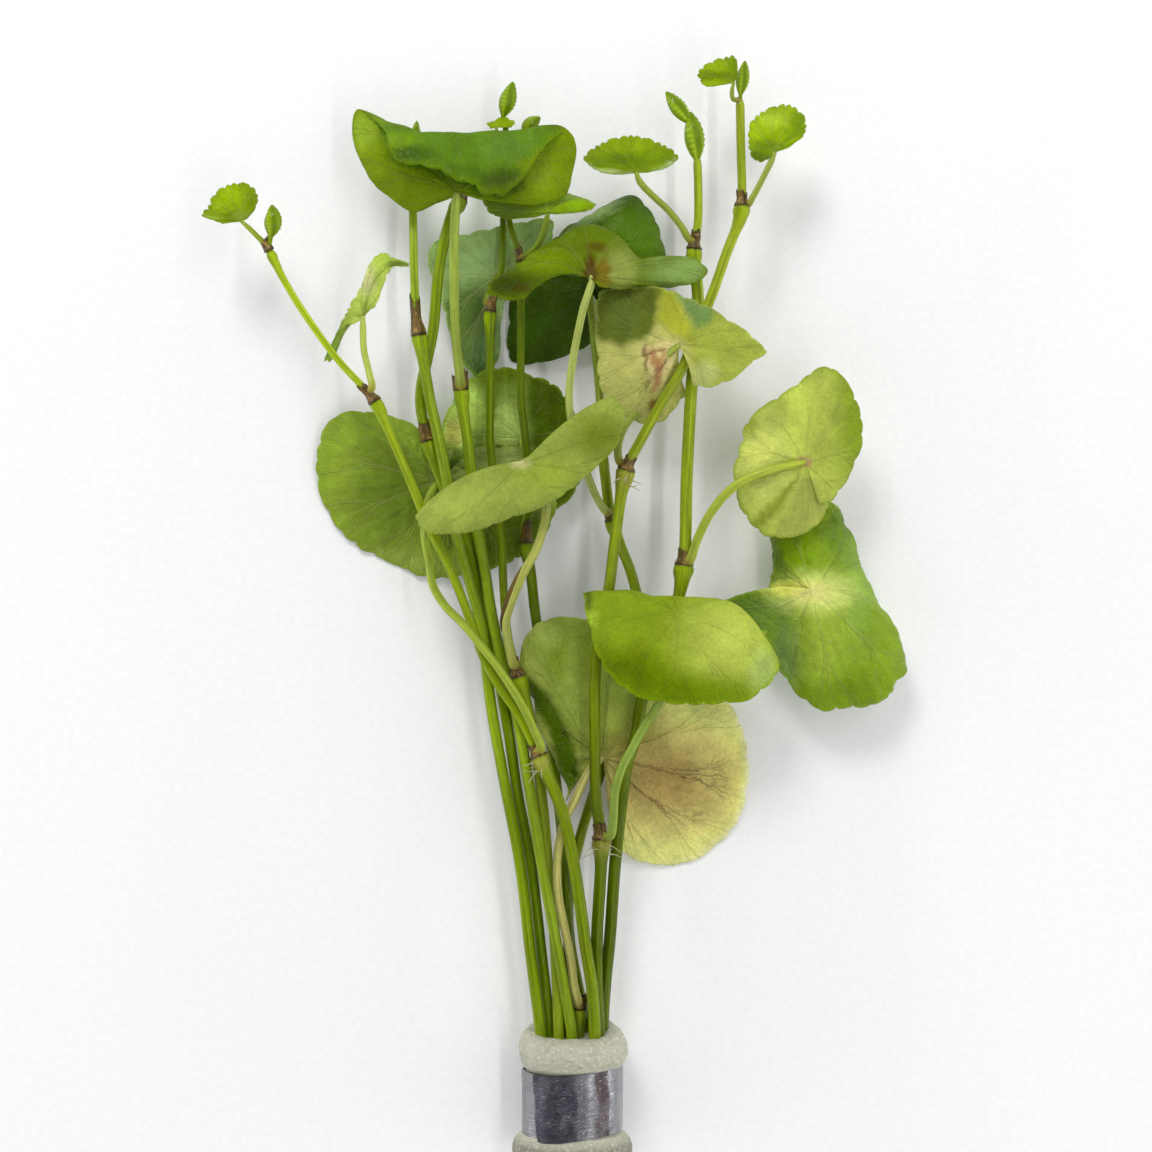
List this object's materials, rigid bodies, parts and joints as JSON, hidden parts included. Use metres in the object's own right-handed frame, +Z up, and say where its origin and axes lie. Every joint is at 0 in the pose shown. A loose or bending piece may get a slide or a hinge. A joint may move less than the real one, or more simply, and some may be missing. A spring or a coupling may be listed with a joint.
{
  "type": "bunch of aquarium plant stems",
  "caption": "Bunch of cut brazilian pennywort stems with round scalloped leaves, lying flat, held at the cut ends by a foam collar under a lead band.",
  "frame": {"origin": "under the middle of the bounding box, on the surface the bunch lies on", "axes": "+Y from the foam collar to the leaf tips, +X to the right seen from above, +Z up"},
  "size_m": [0.1269, 0.2002, 0.0254],
  "materials": {
    "stem": "wet gloss",
    "leaf": "wet gloss",
    "foam": "matte, porous",
    "lead": "dull metal"
  },
  "bodies": {
    "root": {"stem_left_tip": "stem", "stem_top_left": "stem", "stem_edge_leaf": "stem", "stem_centre_tip": "stem", "stem_centre_right": "stem", "stem_wave_leaf": "stem", "stem_top_right": "stem", "stem_right": "stem", "stem_crossing": "stem", "stem_short": "stem", "leaf_big_left": "leaf", "leaf_round_behind": "leaf", "leaf_yellowing": "leaf", "leaf_domed": "leaf", "leaf_pale_right": "leaf", "leaf_saddle": "leaf", "leaf_blotched": "leaf", "leaf_wavy": "leaf", "leaf_edge_on": "leaf", "leaf_under_edge": "leaf", "leaf_back_blue": "leaf", "leaf_back_dark": "leaf", "leaf_folded": "leaf", "leaf_curled": "leaf", "leaf_far_left": "leaf", "leaf_top_inner": "leaf", "leaf_top_tip": "leaf", "leaf_top_outer": "leaf", "leaf_top_centre": "leaf", "foam_collar": "foam", "lead_band": "lead"}
  },
  "joints": []
}
